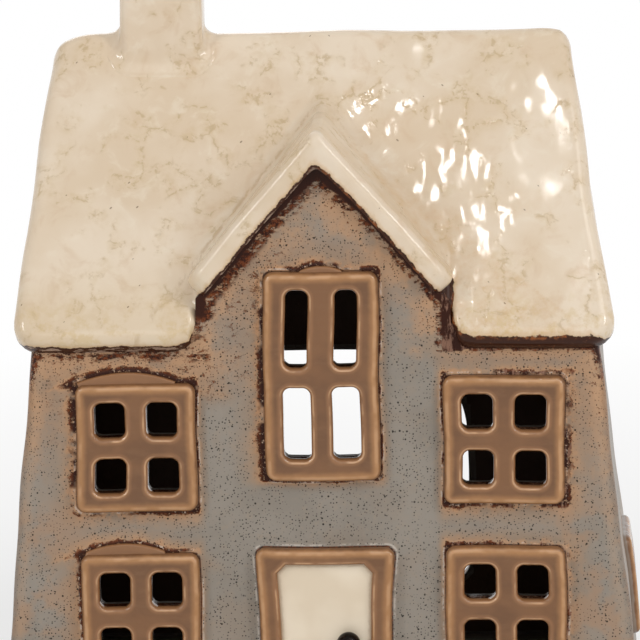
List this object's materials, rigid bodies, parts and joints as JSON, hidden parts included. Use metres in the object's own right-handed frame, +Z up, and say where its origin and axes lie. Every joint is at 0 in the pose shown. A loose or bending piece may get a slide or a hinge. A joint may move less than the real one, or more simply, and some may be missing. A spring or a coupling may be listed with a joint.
{
  "type": "tealight house",
  "caption": "Glazed stoneware house with a pitched roof, dormer, chimney and open panes; a tealight inside shines through the windows.",
  "frame": {"origin": "middle of the underside, where the house stands on a table", "axes": "+Z up, +X to the right as the front door is faced, +Y towards the back wall with the large opening"},
  "size_m": [0.1532, 0.0989, 0.1927],
  "materials": {
    "roof_glaze": "glossy cream glaze",
    "wall_glaze": "satin speckled grey glaze",
    "frame_glaze": "glossy caramel brown glaze",
    "door_glaze": "glossy cream glaze",
    "knob_glaze": "glossy near-black glaze",
    "bare_clay": "unglazed stoneware, glazed at the edge",
    "cup_foil": "pressed foil",
    "candle_wax": "smooth white wax",
    "cotton_wick": "waxed cotton braid"
  },
  "bodies": {
    "house": {"base_slab": "bare_clay", "front_wall": "wall_glaze", "back_wall": "wall_glaze", "left_wall": "wall_glaze", "right_wall": "wall_glaze", "roof_front": "roof_glaze", "roof_back": "roof_glaze", "dormer_roof_left": "roof_glaze", "dormer_roof_right": "roof_glaze", "chimney_stack": "roof_glaze", "upper_left_window": "frame_glaze", "upper_right_window": "frame_glaze", "lower_left_window": "frame_glaze", "lower_right_window": "frame_glaze", "centre_window": "frame_glaze", "left_side_window": "frame_glaze", "right_side_window": "frame_glaze", "upper_left_lintel": "frame_glaze", "lower_left_lintel": "frame_glaze", "centre_lintel": "frame_glaze", "door_frame": "frame_glaze", "door_panel": "door_glaze", "door_knob": "knob_glaze"},
    "tealight": {"tealight_cup": "cup_foil", "tealight_wax": "candle_wax", "tealight_wick": "cotton_wick", "wick_sustainer": "cup_foil"}
  },
  "joints": [
    {"name": "tealight_lift", "type": "slide", "parent": "house", "child": "tealight", "axis": [0, 0.8192, 0.5736], "range_m": [0, 0.085]}
  ]
}
